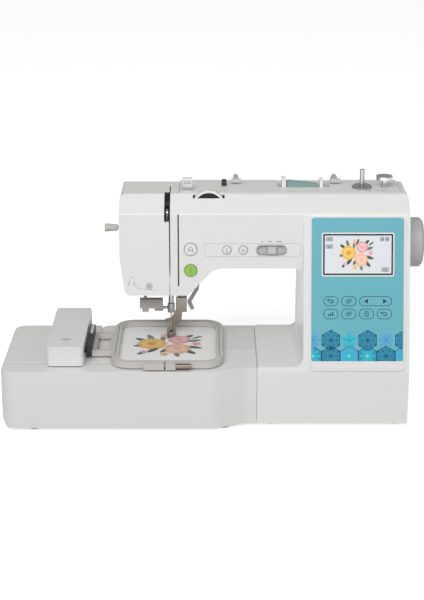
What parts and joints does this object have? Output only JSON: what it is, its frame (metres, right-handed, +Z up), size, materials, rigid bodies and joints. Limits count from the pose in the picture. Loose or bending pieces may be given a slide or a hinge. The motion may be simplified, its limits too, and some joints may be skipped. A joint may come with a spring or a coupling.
{
  "type": "embroidery machine",
  "caption": "Household embroidery machine: a sewing head on an arm and pillar with a touch panel, and a flat unit whose carriage moves a hoop of fabric.",
  "frame": {"origin": "middle of the box round the machine, on the surface that it stands on", "axes": "+X to the machine's right (handwheel side), -Y towards the user, +Z up"},
  "size_m": [0.523, 0.208, 0.299],
  "materials": {
    "white_shell": "satin moulded",
    "grey_plastic": "fine matt",
    "green_button": "translucent, glossy",
    "panel_overlay": "printed film with a hexagon pattern",
    "screen": "lit colour screen",
    "dark_plastic": "matt",
    "steel": "turned and polished",
    "cast_frame": "die-cast",
    "belt_rubber": "matt",
    "thread": "wound thread",
    "cloth": "plain woven",
    "board": "solder mask",
    "clear_plastic": "clear moulded"
  },
  "bodies": {
    "machine": {"front_cover": "white_shell", "rear_cover": "white_shell", "face_cover": "white_shell", "top_cover": "white_shell", "free_arm_cover": "white_shell", "unit_case": "white_shell", "spool_pin": "white_shell", "panel_frame": "white_shell", "bottom_cover": "grey_plastic", "unit_bottom": "grey_plastic", "panel_overlay": "panel_overlay", "lcd_screen": "screen", "power_inlet": "dark_plastic", "pretension_knob": "dark_plastic", "needle_plate": "steel", "winder_stopper": "steel", "thread_guide": "steel", "x_rail": "steel", "chassis": "cast_frame", "motor": "cast_frame", "x_motor": "cast_frame", "drive_belt": "belt_rubber", "timing_belt": "belt_rubber", "circuit_board": "board", "bobbin_cover": "clear_plastic"},
    "main_shaft": {"main_shaft": "steel", "handwheel": "white_shell", "shaft_pulley": "steel"},
    "motor_rotor": {"motor_shaft": "steel"},
    "lower_shaft": {"lower_shaft": "steel"},
    "rotary_hook": {"rotary_hook": "steel"},
    "bobbin": {"bobbin": "clear_plastic"},
    "feed_dog": {"feed_dog": "steel"},
    "needle_bar": {"needle_bar": "steel", "needle_clamp": "steel", "needle": "steel"},
    "take_up_lever": {"take_up_lever": "steel"},
    "presser_lever": {"presser_lever": "grey_plastic"},
    "presser_foot": {"presser_bar": "steel", "embroidery_foot": "steel"},
    "needle_threader": {"threader_lever": "grey_plastic"},
    "tension_dial": {"tension_dial": "grey_plastic"},
    "speed_slider": {"speed_slider": "grey_plastic"},
    "reverse_button": {"reverse_button": "white_shell"},
    "start_stop_button": {"start_stop_button": "green_button"},
    "needle_position_button": {"needle_position_button": "white_shell"},
    "thread_cutter_button": {"thread_cutter_button": "white_shell"},
    "handle": {"handle": "white_shell"},
    "spool": {"thread_spool": "thread"},
    "spool_cap": {"spool_cap": "white_shell"},
    "winder": {"winder_shaft": "steel"},
    "power_switch": {"power_switch": "dark_plastic"},
    "carriage": {"carriage_base": "cast_frame", "carriage_cover": "white_shell"},
    "hoop_frame": {"frame_holder": "dark_plastic", "hoop_outer": "grey_plastic", "hoop_inner": "grey_plastic", "hooped_fabric": "cloth"},
    "frame_lever": {"frame_lever": "grey_plastic"},
    "hoop_screw": {"hoop_screw": "steel"}
  },
  "joints": [
    {"name": "handwheel_turn", "type": "hinge", "parent": "machine", "child": "main_shaft", "pos_m": [0.1, 0.016, 0.206], "axis": [1, 0, 0], "continuous": true},
    {"name": "motor_spin", "type": "hinge", "parent": "machine", "child": "motor_rotor", "pos_m": [0.174, 0.016, 0.12], "axis": [1, 0, 0], "continuous": true},
    {"name": "lower_shaft_turn", "type": "hinge", "parent": "machine", "child": "lower_shaft", "pos_m": [0.083, 0.016, 0.046], "axis": [1, 0, 0], "continuous": true},
    {"name": "hook_turn", "type": "hinge", "parent": "machine", "child": "rotary_hook", "pos_m": [-0.056, -0.006, 0.064], "axis": [0, 0, 1], "continuous": true},
    {"name": "bobbin_spin", "type": "hinge", "parent": "machine", "child": "bobbin", "pos_m": [-0.056, -0.006, 0.064], "axis": [0, 0, 1], "continuous": true},
    {"name": "feed_lift", "type": "slide", "parent": "machine", "child": "feed_dog", "axis": [0, 0, 1], "range_m": [0, 0.0025]},
    {"name": "needle_bar_slide", "type": "slide", "parent": "machine", "child": "needle_bar", "axis": [0, 0, -1], "range_m": [-0.008, 0.019], "deforming": ["hooped_fabric"]},
    {"name": "take_up_swing", "type": "hinge", "parent": "machine", "child": "take_up_lever", "pos_m": [-0.0585, 0.012, 0.236], "axis": [1, 0, 0], "range_deg": [-7, 18]},
    {"name": "presser_lever_turn", "type": "hinge", "parent": "machine", "child": "presser_lever", "pos_m": [-0.03, 0.06, 0.168], "axis": [0, -1, 0], "range_deg": [0, 60]},
    {"name": "presser_foot_lift", "type": "slide", "parent": "machine", "child": "presser_foot", "axis": [0, 0, 1], "range_m": [0, 0.006]},
    {"name": "threader_slide", "type": "slide", "parent": "machine", "child": "needle_threader", "axis": [0, 0, -1], "range_m": [0, 0.028]},
    {"name": "tension_dial_turn", "type": "hinge", "parent": "machine", "child": "tension_dial", "pos_m": [-0.008, -0.0135, 0.261], "axis": [0, 1, 0], "range_deg": [-130, 130]},
    {"name": "speed_slide", "type": "slide", "parent": "machine", "child": "speed_slider", "axis": [1, 0, 0], "range_m": [-0.012, 0.011]},
    {"name": "reverse_press", "type": "slide", "parent": "machine", "child": "reverse_button", "axis": [0, 1, 0], "range_m": [0, 0.0015], "stiffness_N_per_m": 400},
    {"name": "start_stop_press", "type": "slide", "parent": "machine", "child": "start_stop_button", "axis": [0, 1, 0], "range_m": [0, 0.0015], "stiffness_N_per_m": 400},
    {"name": "needle_position_press", "type": "slide", "parent": "machine", "child": "needle_position_button", "axis": [0, 1, 0], "range_m": [0, 0.0015], "stiffness_N_per_m": 400},
    {"name": "thread_cutter_press", "type": "slide", "parent": "machine", "child": "thread_cutter_button", "axis": [0, 1, 0], "range_m": [0, 0.0015], "stiffness_N_per_m": 400},
    {"name": "handle_turn", "type": "hinge", "parent": "machine", "child": "handle", "pos_m": [0.088, 0.034, 0.28], "axis": [1, 0, 0], "range_deg": [0, 90]},
    {"name": "spool_spin", "type": "hinge", "parent": "machine", "child": "spool", "pos_m": [0.108, 0.0365, 0.269], "axis": [1, 0, 0], "continuous": true},
    {"name": "spool_cap_slide", "type": "slide", "parent": "machine", "child": "spool_cap", "axis": [-1, 0, 0], "range_m": [0, 0.004]},
    {"name": "winder_spin", "type": "hinge", "parent": "machine", "child": "winder", "pos_m": [0.1815, 0.017, 0.28], "axis": [0, 0, 1], "continuous": true},
    {"name": "power_rock", "type": "hinge", "parent": "machine", "child": "power_switch", "pos_m": [0.235, 0.017, 0.128], "axis": [0, 1, 0], "range_deg": [-6, 6]},
    {"name": "carriage_slide", "type": "slide", "parent": "machine", "child": "carriage", "axis": [1, 0, 0], "range_m": [-0.048, 0.048]},
    {"name": "frame_slide", "type": "slide", "parent": "carriage", "child": "hoop_frame", "axis": [0, 1, 0], "range_m": [-0.015, 0.085]},
    {"name": "frame_lever_turn", "type": "hinge", "parent": "hoop_frame", "child": "frame_lever", "pos_m": [-0.1546, -0.018, 0.0973], "axis": [0, 0, -1], "range_deg": [0, 30]},
    {"name": "hoop_screw_turn", "type": "hinge", "parent": "hoop_frame", "child": "hoop_screw", "pos_m": [-0.059, -0.0995, 0.084], "axis": [1, 0, 0], "range_deg": [-360, 360]}
  ],
  "couplings": [
    {"joint": "motor_spin", "follows": "handwheel_turn", "ratio": 3.7143},
    {"joint": "lower_shaft_turn", "follows": "handwheel_turn", "ratio": 1},
    {"joint": "hook_turn", "follows": "handwheel_turn", "ratio": 2},
    {"joint": "take_up_swing", "follows": "needle_bar_slide", "rad_per_m": 13},
    {"joint": "presser_lever_turn", "follows": "presser_foot_lift", "rad_per_m": 174.5}
  ]
}
